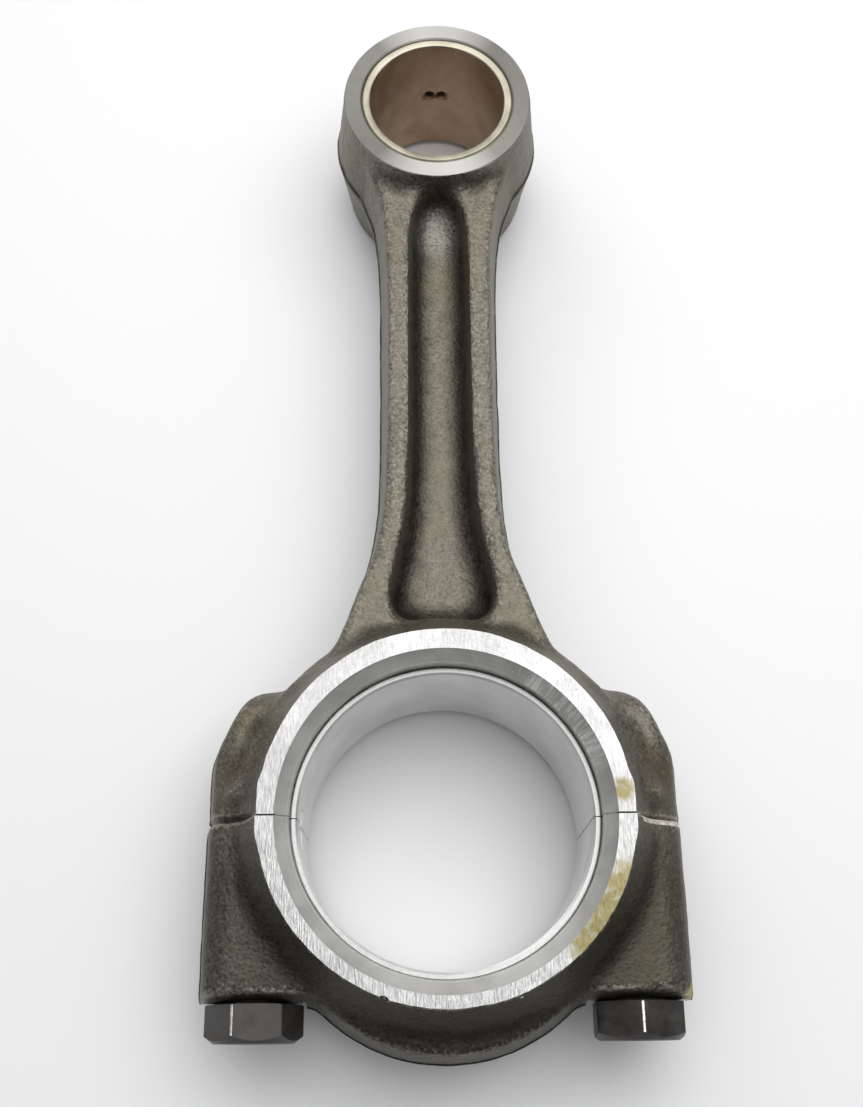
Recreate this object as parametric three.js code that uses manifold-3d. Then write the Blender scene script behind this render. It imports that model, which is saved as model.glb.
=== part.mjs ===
// Connecting rod of a medium diesel engine, lying flat as on a bench. Millimetres, +Z up.
// +Y runs from the crankpin end to the piston-pin end, and X runs across the bolts.
// Every piece is drawn round the crankpin centre at mid thickness. The outer group then
// puts the origin under the middle of the rod, on the surface that it lies on.
import * as THREE from "three";
import { mergeVertices } from "three/addons/utils/BufferGeometryUtils.js";
import Module from "manifold-3d";

// Driving dimensions
const centreDistance = 192; // crankpin centre to piston-pin centre
const bigEndHalf = 21.8; // half the width across the big-end faces
const smallEndHalf = 20.2; // half the width across the small-end faces
const fitGap = 0.3; // space kept between pieces that touch on the real rod
const partingLand = 0.4; // flat left by the trimmed flash line

// Big end
const shellBoreRadius = 32.5; // crankpin bearing bore
const shellWall = 1.7;
const shellHalfWidth = 16.7;
const housingRadius = shellBoreRadius + shellWall + fitGap;
const housingChamferRadius = 37; // where the housing chamfer meets the face
const housingChamferDepth = 2.05;
const ringFaceRadius = 41; // machined ring on each side of the big end
const ringFootRadius = 46.6; // where the ring wall runs out on the bolt bosses
const ringPartingRadius = 48;
const bossHalf = 12.5; // half height of the bolt bosses
const bossRounding = 6.5; // how far their rounded edges stand out at mid height
const bossTopSide = 47.7; // their flat top ends here, measured across the rod
const seatY = -37.8; // bolt-head seats on the cap
const seatInnerX = 30.8;
const archCentreY = -10.9;
const archTopRadius = 38.25;
const archDraft = 1.75;

// Small end
const pinBoreRadius = 18.05; // piston-pin bore of the bush
const bushOuterRadius = 20.35;
const bossFaceRadius = 25;
const bossPartingRadius = 27.6;
const bushHalfWidth = 20;
const oilHoleRadius = 1.2;
const oilHoleSpacing = 3.4;

// Beam
const flangeHalf = 15; // half height over the flanges
const flangeDraft = 2.1;
const webHalf = 4.2; // half thickness of the web between the pockets
const pocketDraft = 3.5;

// Fasteners and locating pins
const boltX = 42.3;
const boltRadius = 6;
const headAcrossFlats = 19;
const headLength = 8;
const headTurns = { left: 39.5, right: -2.6 }; // degrees from a corner up, as each was tightened
const boltTipY = 22.2;
const threadHoleRadius = boltRadius + fitGap;
const capHoleRadius = 6.5;
const holeEndY = 25;
const dowelRadius = 2.5;
const dowelHalfLength = 6;
const dowelX = 40.5;
const dowelZ = 11.8;
const tang = { inner: 33.3, outer: 35.4, length: 4.2, zLow: 5, zHigh: 9.5 };

const bigSteps = 72; // facets round the crankpin
const smallSteps = 48; // facets round the piston pin
const holeSteps = 20;
const farOut = 70; // past every outside surface

const wasm = await Module();
wasm.setup();

// A closed geometry as a solid that can be joined and cut.
function solidOf(geometry) {
  geometry.deleteAttribute("normal");
  geometry.deleteAttribute("uv");
  const merged = mergeVertices(geometry, 1e-4);
  const corners = merged.index.array;
  const kept = [];
  for (let i = 0; i < corners.length; i += 3) {
    const [a, b, c] = [corners[i], corners[i + 1], corners[i + 2]];
    if (a !== b && b !== c && c !== a) kept.push(a, b, c);
  }
  const mesh = new wasm.Mesh({
    numProp: 3,
    vertProperties: new Float32Array(merged.attributes.position.array),
    triVerts: new Uint32Array(kept),
  });
  return new wasm.Manifold(mesh);
}

function geometryOf(solid) {
  const mesh = solid.getMesh();
  const geometry = new THREE.BufferGeometry();
  geometry.setAttribute("position", new THREE.BufferAttribute(mesh.vertProperties, 3));
  geometry.setIndex(new THREE.BufferAttribute(mesh.triVerts, 1));
  geometry.computeVertexNormals();
  return geometry;
}

function joined(...solids) {
  return solids.reduce((sum, solid) => sum.add(solid));
}

function without(solid, ...cutters) {
  return cutters.reduce((rest, cutter) => rest.subtract(cutter), solid);
}

// A box between two corners.
function block(low, high) {
  const [width, depth, height] = high.map((value, i) => value - low[i]);
  const box = new THREE.BoxGeometry(width, depth, height);
  box.translate(...high.map((value, i) => (value + low[i]) / 2));
  return solidOf(box);
}

// A profile of [radius, z] points, bottom to top on the outside, turned about Z.
function turnedAboutZ(profile, steps, centreY = 0) {
  const points = profile.map(([radius, z]) => new THREE.Vector2(radius, z));
  const lathe = new THREE.LatheGeometry(points, steps);
  lathe.rotateX(Math.PI / 2);
  lathe.translate(0, centreY, 0);
  return solidOf(lathe);
}

// A profile of [radius, y] points, low to high on the outside, turned about a line along Y.
function turnedAboutY(profile, steps, x, z = 0) {
  const points = profile.map(([radius, y]) => new THREE.Vector2(radius, y));
  const lathe = new THREE.LatheGeometry(points, steps);
  lathe.translate(x, 0, z);
  return solidOf(lathe);
}

// The same [radius, z] points above mid thickness, mirrored below it.
function bothSides(upper) {
  const lower = upper.map(([radius, z]) => [radius, -z]).reverse();
  return [...lower, ...upper];
}

// A forged plate: the outline is its flat top, and its sides stand out by draft at mid height.
function forgedPlate(outline, halfHeight, draft, roundSteps = 1) {
  const plate = new THREE.ExtrudeGeometry(outline, {
    depth: partingLand,
    bevelThickness: halfHeight - partingLand / 2,
    bevelSize: draft,
    bevelSegments: roundSteps,
    curveSegments: 10,
  });
  plate.translate(0, 0, -partingLand / 2);
  return solidOf(plate);
}

// One side's [x, y] points, low to high, closed by their mirror image.
function mirroredOutline(side) {
  const right = side.map(([x, y]) => new THREE.Vector2(x, y));
  const left = side.map(([x, y]) => new THREE.Vector2(-x, y)).reverse();
  return new THREE.Shape([...right, ...left]);
}

// A smooth line through a few [x, y] points, as many points long as asked.
function faired(points, count) {
  const line = new THREE.SplineCurve(points.map(([x, y]) => new THREE.Vector2(x, y)));
  return line.getSpacedPoints(count).map((point) => [point.x, point.y]);
}

// The big-end ring, from its machined faces down to the parting line.
function ringBlank() {
  const wall = [
    [ringPartingRadius, 0],
    [ringFootRadius, bossHalf - 0.5],
    [43, 18],
    [ringFaceRadius, bigEndHalf],
  ];
  const mirrored = bothSides(wall.slice(1));
  const half = mirrored.length / 2;
  const profile = [[0, -bigEndHalf], ...mirrored.slice(0, half), wall[0]];
  return turnedAboutZ([...profile, ...mirrored.slice(half), [0, bigEndHalf]], bigSteps);
}

// Room for the shells, with the wide chamfer at each face.
function housingCutter() {
  const over = 1.2;
  const slope = (housingChamferRadius - housingRadius) / housingChamferDepth;
  const upper = [
    [housingRadius, bigEndHalf - housingChamferDepth],
    [housingChamferRadius + slope * over, bigEndHalf + over],
  ];
  const ends = bigEndHalf + over;
  return turnedAboutZ([[0, -ends], ...bothSides(upper), [0, ends]], bigSteps);
}

// Narrow along the beam, then opening into the shoulders beside the big end.
function beamBlank() {
  const side = faired(
    [[27, 37.5], [22.6, 47], [19.3, 55.5], [16, 64], [13.9, 77], [13.15, 92], [13.1, 108],
      [13.2, 125], [13.3, 142], [14, 154], [15.4, 164], [18.5, 174]],
    26,
  );
  return forgedPlate(mirroredOutline([[27, 5], ...side, [18.5, 190]]), flangeHalf, flangeDraft);
}

// One pocket beside the web: floor outline below, top outline a draft wider.
function pocketCutter(direction) {
  const side = faired(
    [[8.6, 47], [9.1, 54], [8, 61], [5.9, 72], [4.8, 88], [4.5, 108], [4.4, 130], [4.3, 150],
      [3.9, 157]],
    18,
  );
  const outline = mirroredOutline([[7.2, 42], ...side, [2.2, 161]]);
  const depth = flangeHalf - webHalf;
  const cutter = new THREE.ExtrudeGeometry(outline, {
    depth: 8,
    bevelThickness: depth,
    bevelSize: pocketDraft,
    bevelSegments: 1,
  });
  cutter.translate(0, 0, flangeHalf);
  const upper = solidOf(cutter);
  return direction > 0 ? upper : upper.mirror([0, 0, 1]);
}

function shoulderBlank(side) {
  const outline = new THREE.Shape();
  outline.moveTo(20, -10);
  outline.lineTo(bossTopSide, -10);
  outline.lineTo(bossTopSide, 15.5);
  outline.lineTo(44.6, 23.5);
  outline.quadraticCurveTo(43.5, 26.2, 41, 26.2);
  outline.lineTo(36.5, 26.2);
  outline.quadraticCurveTo(31, 26.6, 27, 31);
  outline.lineTo(20, 38);
  const plate = forgedPlate(outline, bossHalf, bossRounding, 3);
  return side > 0 ? plate : plate.mirror([1, 0, 0]);
}

// A cap boss runs past the bolt-head seat, which is then machined square across it.
function capBossBlank(side) {
  const outline = new THREE.Shape();
  outline.moveTo(24, 10);
  outline.lineTo(24, seatY - 8);
  outline.lineTo(bossTopSide, seatY - 8);
  outline.lineTo(bossTopSide, 10);
  const plate = forgedPlate(outline, bossHalf, bossRounding, 3);
  const seatCut = block([-farOut, -farOut, -farOut], [farOut, seatY, farOut]);
  return without(side > 0 ? plate : plate.mirror([1, 0, 0]), seatCut);
}

// The rib round the bottom of the cap, between the two bolt seats.
function archBlank() {
  const outline = new THREE.Shape();
  outline.absarc(0, archCentreY, archTopRadius, -Math.PI * 0.8, -Math.PI * 0.2, false);
  outline.lineTo(0, 0);
  return forgedPlate(outline, bossHalf, archDraft);
}

function boltHole(x, radius, low, high) {
  return turnedAboutY([[0, low], [radius, low], [radius, high], [0, high + radius * 0.6]], holeSteps, x);
}

function dowelPlace(side) {
  return { x: side * dowelX, z: -side * dowelZ };
}

function dowelHole(side) {
  const { x, z } = dowelPlace(side);
  const radius = dowelRadius + fitGap;
  const half = dowelHalfLength + fitGap;
  return turnedAboutY([[0, -half], [radius, -half], [radius, half], [0, half]], 12, x, z);
}

// Slots in the housing for the shells' tangs, on one side of the joint.
function tangSlot() {
  const low = [-tang.outer - fitGap, -tang.length - fitGap, tang.zLow - fitGap];
  const high = [-tang.inner, tang.length + fitGap, tang.zHigh + fitGap];
  return block(low, high);
}

const jointHalfGap = fitGap / 2;
const rodSide = block([-farOut, jointHalfGap, -farOut], [farOut, centreDistance + farOut, farOut]);
const capSide = block([-farOut, -farOut, -farOut], [farOut, -jointHalfGap, farOut]);

function oilHoles(from, to) {
  return [-1, 1].map((side) =>
    turnedAboutY(
      [[0, from], [oilHoleRadius, from], [oilHoleRadius, to], [0, to]],
      10,
      (side * oilHoleSpacing) / 2,
    ),
  );
}

function rodBody() {
  const beam = without(beamBlank(), pocketCutter(1), pocketCutter(-1));
  const bossProfile = [
    [0, -smallEndHalf],
    [bossFaceRadius, -smallEndHalf],
    [bossPartingRadius, 0],
    [bossFaceRadius, smallEndHalf],
    [0, smallEndHalf],
  ];
  const pinBoss = turnedAboutZ(bossProfile, smallSteps, centreDistance);
  const blank = joined(beam, pinBoss, ringBlank(), shoulderBlank(1), shoulderBlank(-1));
  const bushSeat = bushOuterRadius + fitGap;
  const bushBore = turnedAboutZ(
    [[0, -farOut], [bushSeat, -farOut], [bushSeat, farOut], [0, farOut]],
    smallSteps,
    centreDistance,
  );
  return without(
    blank.intersect(rodSide),
    housingCutter(),
    bushBore,
    boltHole(boltX, threadHoleRadius, -1, holeEndY),
    boltHole(-boltX, threadHoleRadius, -1, holeEndY),
    dowelHole(1),
    dowelHole(-1),
    tangSlot(),
    ...oilHoles(centreDistance + pinBoreRadius, centreDistance + farOut),
  );
}

function bearingCap() {
  const blank = joined(ringBlank(), capBossBlank(1), capBossBlank(-1), archBlank());
  return without(
    blank.intersect(capSide),
    block([seatInnerX, -farOut, -farOut], [farOut, seatY, farOut]),
    block([-farOut, -farOut, -farOut], [-seatInnerX, seatY, farOut]),
    housingCutter(),
    boltHole(boltX, capHoleRadius, -farOut, 1),
    boltHole(-boltX, capHoleRadius, -farOut, 1),
    dowelHole(1),
    dowelHole(-1),
    tangSlot(),
  );
}

// A half shell with its tang; side is +1 for the one in the rod and -1 for the one in the cap.
function bearingShell(side) {
  const edge = 0.5;
  const outer = shellBoreRadius + shellWall;
  const ring = turnedAboutZ(
    [
      [shellBoreRadius + edge, -shellHalfWidth],
      [outer, -shellHalfWidth],
      [outer, shellHalfWidth],
      [shellBoreRadius + edge, shellHalfWidth],
      [shellBoreRadius, shellHalfWidth - edge],
      [shellBoreRadius, edge - shellHalfWidth],
      [shellBoreRadius + edge, -shellHalfWidth],
    ],
    bigSteps,
  );
  const key = block([-tang.outer, -tang.length, tang.zLow], [-tang.inner, tang.length, tang.zHigh]);
  return ring.add(key).intersect(side > 0 ? rodSide : capSide);
}

function smallEndBush() {
  const edge = 0.8;
  const ring = turnedAboutZ(
    [
      [pinBoreRadius + edge, -bushHalfWidth],
      [bushOuterRadius, -bushHalfWidth],
      [bushOuterRadius, bushHalfWidth],
      [pinBoreRadius + edge, bushHalfWidth],
      [pinBoreRadius, bushHalfWidth - edge],
      [pinBoreRadius, edge - bushHalfWidth],
      [pinBoreRadius + edge, -bushHalfWidth],
    ],
    smallSteps,
    centreDistance,
  );
  return without(ring, ...oilHoles(centreDistance, centreDistance + farOut));
}

// A hexagon-headed bolt, head down in -Y, its shank up through the cap into the rod.
function capBolt(x, turn) {
  const under = seatY - fitGap;
  const headEnd = under - headLength;
  const cornerRadius = headAcrossFlats / Math.sqrt(3);
  const chamferRadius = headAcrossFlats * 0.46;
  const chamferLength = (cornerRadius - chamferRadius) * Math.tan(Math.PI / 6);
  const hexagon = new THREE.CylinderGeometry(cornerRadius, cornerRadius, headLength, 6);
  hexagon.rotateY(THREE.MathUtils.degToRad(turn));
  hexagon.translate(x, (under + headEnd) / 2, 0);
  const envelope = turnedAboutY(
    [
      [0, headEnd],
      [chamferRadius, headEnd],
      [cornerRadius, headEnd + chamferLength],
      [cornerRadius, under + 1],
      [0, under + 1],
    ],
    holeSteps * 2,
    x,
  );
  const tipEdge = 1.2;
  const shank = turnedAboutY(
    [
      [0, under - 1],
      [boltRadius, under - 1],
      [boltRadius, boltTipY - tipEdge],
      [boltRadius - tipEdge, boltTipY],
      [0, boltTipY],
    ],
    holeSteps,
    x,
  );
  return solidOf(hexagon).intersect(envelope).add(shank);
}

function dowelPin(side) {
  const { x, z } = dowelPlace(side);
  const edge = 0.6;
  const half = dowelHalfLength;
  const profile = [
    [0, -half],
    [dowelRadius - edge, -half],
    [dowelRadius, edge - half],
    [dowelRadius, half - edge],
    [dowelRadius - edge, half],
    [0, half],
  ];
  return turnedAboutY(profile, 12, x, z);
}

const forgedSteel = { color: 0x66625a, roughness: 0.62, metalness: 0.75 };
const bearingMetal = { color: 0xb9b9ba, roughness: 0.35, metalness: 0.9 };
const bushBronze = { color: 0xa98a6c, roughness: 0.38, metalness: 0.9 };
const blackenedSteel = { color: 0x35342f, roughness: 0.5, metalness: 0.6 };
const pinSteel = { color: 0x9a9a9c, roughness: 0.3, metalness: 0.95 };

const pieces = new THREE.Group();

function place(name, solid, finish) {
  const mesh = new THREE.Mesh(geometryOf(solid), new THREE.MeshStandardMaterial(finish));
  mesh.name = name;
  pieces.add(mesh);
}

place("rod_body", rodBody(), forgedSteel);
place("bearing_cap", bearingCap(), forgedSteel);
place("upper_bearing_shell", bearingShell(1), bearingMetal);
place("lower_bearing_shell", bearingShell(-1), bearingMetal);
place("small_end_bush", smallEndBush(), bushBronze);
place("cap_bolt_left", capBolt(-boltX, headTurns.left), blackenedSteel);
place("cap_bolt_right", capBolt(boltX, headTurns.right), blackenedSteel);
place("dowel_left", dowelPin(-1), pinSteel);
place("dowel_right", dowelPin(1), pinSteel);

// The lowest and highest points along the rod set where its middle is.
const archEndY = archCentreY - archTopRadius - archDraft;
const pinEndY = centreDistance + bossPartingRadius;
pieces.position.set(0, -(archEndY + pinEndY) / 2, bigEndHalf);

const group = new THREE.Group();
group.add(pieces);
export default group;
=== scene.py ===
import math

import bmesh
import bpy
import numpy as np
from mathutils import Matrix, Vector
from mathutils.geometry import interpolate_bezier


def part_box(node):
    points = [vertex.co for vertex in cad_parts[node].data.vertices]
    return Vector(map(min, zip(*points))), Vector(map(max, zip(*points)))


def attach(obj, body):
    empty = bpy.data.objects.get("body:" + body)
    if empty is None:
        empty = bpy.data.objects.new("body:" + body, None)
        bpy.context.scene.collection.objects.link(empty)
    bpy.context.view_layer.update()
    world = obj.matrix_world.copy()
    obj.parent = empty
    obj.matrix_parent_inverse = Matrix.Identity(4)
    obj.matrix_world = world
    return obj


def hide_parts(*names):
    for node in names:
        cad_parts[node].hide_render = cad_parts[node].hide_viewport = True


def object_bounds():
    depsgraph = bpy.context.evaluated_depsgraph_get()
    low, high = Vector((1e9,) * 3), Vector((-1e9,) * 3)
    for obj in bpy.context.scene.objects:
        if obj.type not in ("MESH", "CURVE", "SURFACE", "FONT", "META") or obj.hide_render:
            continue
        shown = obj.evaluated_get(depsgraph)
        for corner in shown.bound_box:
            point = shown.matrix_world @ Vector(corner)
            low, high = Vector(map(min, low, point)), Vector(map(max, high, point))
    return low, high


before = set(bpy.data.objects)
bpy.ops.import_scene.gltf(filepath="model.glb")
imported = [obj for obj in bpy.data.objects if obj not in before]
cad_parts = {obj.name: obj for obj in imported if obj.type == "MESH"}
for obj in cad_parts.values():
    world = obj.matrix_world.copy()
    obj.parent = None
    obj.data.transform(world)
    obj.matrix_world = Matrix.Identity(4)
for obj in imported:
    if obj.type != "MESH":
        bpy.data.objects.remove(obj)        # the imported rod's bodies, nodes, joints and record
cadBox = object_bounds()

# Pieces are shaped in millimetres round the crankpin centre, at mid thickness,
# and then scaled and moved onto the frame.
rodPlan = {"centreDistance": 192.0, "bigFace": 21.8, "smallFace": 20.2, "jointGap": 0.06}

bushLow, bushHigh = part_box("small_end_bush")
pinCentre = (bushLow + bushHigh) / 2
toFrame = (Matrix.Translation(pinCentre - Vector((0, rodPlan["centreDistance"] / 1000, 0)))
           @ Matrix.Scale(0.001, 4))
alongY = Matrix.Rotation(-math.pi / 2, 4, "X")    # heights of a spun profile run along +Y
standAcross = Matrix.Rotation(math.pi / 2, 4, "X")    # an outline stands across the rod, in X and Z
standAlong = Matrix(((0, 0, 1, 0), (1, 0, 0, 0), (0, 1, 0, 0), (0, 0, 0, 1)))    # or along it, in Y and Z


def rodBox(node):
    # a node's corners, in millimetres round the crankpin centre
    low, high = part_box(node)
    return toFrame.inverted() @ low, toFrame.inverted() @ high


# Shapes
def smoothLine(points, steps=5):
    # a smooth line through a few points
    ends = [Vector(point).to_3d() for point in (points[0], *points, points[-1])]
    line = []
    for before, start, end, after in zip(ends, ends[1:], ends[2:], ends[3:]):
        leave, arrive = start + (end - before) / 6, end - (after - start) / 6
        line += interpolate_bezier(start, leave, arrive, end, steps + 1)[:-1]
    return [(p.x, p.y) for p in line] + [tuple(points[-1])]


def mirrored(side):
    return side + [(-x, y) for x, y in reversed(side)]


def outlineFace(points, z=0.0):
    bm = bmesh.new()
    bm.faces.new([bm.verts.new((x, y, z)) for x, y in points])
    bmesh.ops.recalc_face_normals(bm, faces=bm.faces)
    if bm.faces[:][0].normal.z < 0:
        bmesh.ops.reverse_faces(bm, faces=bm.faces)
    return bm


def forgedPlate(points, inset, rise):
    # the outline at mid thickness, drafted in to a flat top, and the same below
    bm = outlineFace(points)
    bmesh.ops.inset_region(bm, faces=bm.faces[:], thickness=inset, depth=rise, use_boundary=True,
                           use_even_offset=True)
    bmesh.ops.mirror(bm, geom=bm.verts[:] + bm.edges[:] + bm.faces[:], axis="Z", merge_dist=0.001)
    bmesh.ops.recalc_face_normals(bm, faces=bm.faces)
    return bm


def prism(points, low, high, lay=None):
    # an outline extruded along Z from low to high, then turned by lay
    bm = outlineFace(points, low)
    lid = bmesh.ops.extrude_face_region(bm, geom=bm.faces[:])
    lidVerts = [v for v in lid["geom"] if isinstance(v, bmesh.types.BMVert)]
    bmesh.ops.translate(bm, verts=lidVerts, vec=(0, 0, high - low))
    bmesh.ops.transform(bm, matrix=lay or Matrix.Identity(4), verts=bm.verts)
    bmesh.ops.recalc_face_normals(bm, faces=bm.faces)
    return bm


def spun(profile, steps=96, centre=(0, 0, 0), lay=None):
    # a profile of (radius, height) pairs, spun about Z, turned by lay and moved to its centre
    bm = bmesh.new()
    verts = [bm.verts.new((radius, 0, height)) for radius, height in profile]
    edges = [bm.edges.new(pair) for pair in zip(verts, verts[1:])]
    bmesh.ops.spin(bm, geom=verts + edges, cent=(0, 0, 0), axis=(0, 0, 1), angle=math.tau,
                   steps=steps, use_merge=True, use_duplicate=False)
    bmesh.ops.remove_doubles(bm, verts=bm.verts, dist=0.0005)
    bmesh.ops.recalc_face_normals(bm, faces=bm.faces)
    matrix = Matrix.Translation(centre) @ (lay or Matrix.Identity(4))
    bmesh.ops.transform(bm, matrix=matrix, verts=bm.verts)
    return bm


def block(low, high):
    low, high = Vector(low), Vector(high)
    bm = bmesh.new()
    size = Matrix.Diagonal((*(high - low), 1))
    bmesh.ops.create_cube(bm, size=1, matrix=Matrix.Translation((low + high) / 2) @ size)
    return bm


def flipped(bm, axes=(1, 1, -1)):
    bmesh.ops.scale(bm, vec=axes, verts=bm.verts)
    bmesh.ops.reverse_faces(bm, faces=bm.faces)
    return bm


def asObject(name, bm):
    mesh = bpy.data.meshes.new(name)
    bm.to_mesh(mesh)
    bm.free()
    piece = bpy.data.objects.new(name, mesh)
    bpy.context.scene.collection.objects.link(piece)
    return piece


def asBmesh(piece):
    bm = bmesh.new()
    bm.from_mesh(piece.data)
    return bm


def applyModifiers(piece):
    shaped = piece.evaluated_get(bpy.context.evaluated_depsgraph_get())
    mesh = bpy.data.meshes.new_from_object(shaped)
    old, name = piece.data, piece.data.name
    piece.modifiers.clear()
    piece.data = mesh
    bpy.data.meshes.remove(old)
    mesh.name = name


def combine(piece, part, how):
    tool = asObject("tool", part)
    cut = piece.modifiers.new("tool", "BOOLEAN")
    cut.operation = how
    cut.solver = "MANIFOLD"
    cut.object = tool
    applyModifiers(piece)
    bpy.data.objects.remove(tool)


def cutAway(piece, *parts):
    for part in parts:
        combine(piece, part, "DIFFERENCE")


def addOn(piece, *parts):
    for part in parts:
        combine(piece, part, "UNION")


def keepWithin(piece, *parts):
    for part in parts:
        combine(piece, part, "INTERSECT")


def remesh(piece, voxel):
    step = piece.modifiers.new("remesh", "REMESH")
    step.mode = "VOXEL"
    step.voxel_size = voxel
    applyModifiers(piece)


def grow(piece, distance):
    step = piece.modifiers.new("grow", "DISPLACE")
    step.strength = distance
    step.mid_level = 0
    applyModifiers(piece)


def soften(piece, rounds, amount=0.5):
    step = piece.modifiers.new("soften", "SMOOTH")
    step.factor = amount
    step.iterations = rounds
    applyModifiers(piece)


def roughen(piece, size, height):
    # an uneven skin: lumps about size across and height from dip to top
    lumps = bpy.data.textures.new("lumps", "CLOUDS")
    lumps.noise_scale = size
    step = piece.modifiers.new("roughen", "DISPLACE")
    step.texture = lumps
    step.texture_coords = "LOCAL"
    step.strength = height
    applyModifiers(piece)


def score(bm, point, normal):
    # an edge all round where a plane meets the surface
    bmesh.ops.bisect_plane(bm, geom=bm.verts[:] + bm.edges[:] + bm.faces[:], plane_co=point,
                           plane_no=normal)


def drilled(radius, low, high, lowMouth, highMouth):
    # a through hole's profile, with a 45 degree countersink at each mouth
    past = 3.0    # how far the cutter runs on beyond each face
    start = [(0, low - past), (radius + lowMouth + past, low - past), (radius, low + lowMouth)]
    end = [(radius, high - highMouth), (radius + highMouth + past, high + past), (0, high + past)]
    return start + end


def bothWays(wall):
    # a wall's upper points, closed to the axis and mirrored below
    return [(0, -wall[-1][1]), *[(r, -z) for r, z in reversed(wall[1:])], *wall, (0, wall[-1][1])]


def sectionOutline(upper):
    # a section's upper points, from mid thickness up, with the same below
    points = smoothLine(upper, 3)
    return points + [(x, -z) for x, z in reversed(points)]


# Finishes
def newFinish(name, metallic, roughness):
    material = bpy.data.materials.new(name)
    material.use_nodes = True
    skin = material.node_tree.nodes["Principled BSDF"]
    skin.inputs["Metallic"].default_value = metallic
    skin.inputs["Roughness"].default_value = roughness
    return material, material.node_tree, skin


def addNode(tree, kind, inputs, **settings):
    made = tree.nodes.new("ShaderNode" + kind)
    for name, value in settings.items():
        setattr(made, name, value)
    for name, value in inputs.items():
        if isinstance(value, bpy.types.NodeSocket):
            tree.links.new(value, made.inputs[name])
        else:
            made.inputs[name].default_value = value
    return made


def rodPlace(tree, centreY=0.0):
    # Object coordinates, in millimetres from the crankpin centre or from a point along Y
    centre = toFrame @ Vector((0, centreY, 0)) * -1000
    place = addNode(tree, "TexCoord", {}).outputs["Object"]
    mapping = addNode(tree, "Mapping", {"Vector": place, "Location": centre, "Scale": (1000,) * 3})
    return mapping.outputs[0]


def stretched(tree, place, scale):
    return addNode(tree, "Mapping", {"Vector": place, "Scale": scale}).outputs[0]


def noiseOf(tree, place, size, detail=4.0, roughness=0.55):
    inputs = {"Vector": place, "Scale": 1 / size, "Detail": detail, "Roughness": roughness}
    return addNode(tree, "TexNoise", inputs).outputs[0]


def pitsOf(tree, place, size):
    return addNode(tree, "TexVoronoi", {"Vector": place, "Scale": 1 / size}).outputs["Distance"]


def between(tree, value, low, high, first=0.0, last=1.0):
    inputs = {"Value": value, "From Min": low, "From Max": high, "To Min": first, "To Max": last}
    return addNode(tree, "MapRange", inputs).outputs[0]


def maths(tree, how, first, second=0.0):
    return addNode(tree, "Math", {0: first, 1: second}, operation=how).outputs[0]


def times(tree, first, second):
    return maths(tree, "MULTIPLY", first, second)


def plus(tree, first, second):
    return maths(tree, "ADD", first, second)


def splitOf(tree, place):
    return addNode(tree, "SeparateXYZ", {0: place}).outputs


def outwardOf(tree, place):
    # straight out from the bore's axis, as long as the distance from it
    split = splitOf(tree, place)
    return addNode(tree, "CombineXYZ", {0: split[0], 1: split[1], 2: 0.0}).outputs[0]


def lengthOf(tree, vector):
    return addNode(tree, "VectorMath", {0: vector}, operation="LENGTH").outputs["Value"]


def mixed(tree, amount, first, second, way="MIX"):
    inputs = {0: amount}
    for socket, tone in ((6, first), (7, second)):
        inputs[socket] = tone if isinstance(tone, bpy.types.NodeSocket) else (*tone, 1)
    return addNode(tree, "Mix", inputs, data_type="RGBA", blend_type=way).outputs[2]


def raised(tree, height, depth, under=None):
    inputs = {"Height": height, "Distance": depth / 1000, "Strength": 1.0}
    if under:
        inputs["Normal"] = under
    return addNode(tree, "Bump", inputs).outputs[0]


def nearTo(tree, place, centre, reach):
    # 1 near a point, fading to 0 at its reach
    inputs = {0: place, 1: centre}
    distance = addNode(tree, "VectorMath", inputs, operation="DISTANCE").outputs["Value"]
    return between(tree, distance, reach * 0.35, reach, 1.0, 0.0)


def stainOf(tree, place, spots, size=2.5):
    # ragged stains round a few points, each with a reach
    ragged = noiseOf(tree, place, size, 5)
    total = 0.0
    for centre, reach in spots:
        total = maths(tree, "MAXIMUM", total, nearTo(tree, place, centre, reach))
    return between(tree, times(tree, total, plus(tree, ragged, 0.25)), 0.25, 0.72)


def ringOf(tree, place, size):
    # lines round the bore's axis, as a turning tool leaves
    inputs = {"W": lengthOf(tree, outwardOf(tree, place)), "Scale": 1 / size, "Detail": 3.0}
    return addNode(tree, "TexNoise", inputs, noise_dimensions="1D").outputs[0]


def turnedAbout(tree, place):
    # the distance round the bore, the distance from its axis, and the height
    split = splitOf(tree, place)
    angle = maths(tree, "ARCTAN2", split[1], split[0])
    along = times(tree, angle, 36.0)    # near the housing's radius
    radius = lengthOf(tree, outwardOf(tree, place))
    return addNode(tree, "CombineXYZ", {0: along, 1: radius, 2: split[2]}).outputs[0]


def connect(tree, skin, colour, roughness, normal):
    tree.links.new(colour, skin.inputs["Base Color"])
    tree.links.new(roughness, skin.inputs["Roughness"])
    tree.links.new(normal, skin.inputs["Normal"])


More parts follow.
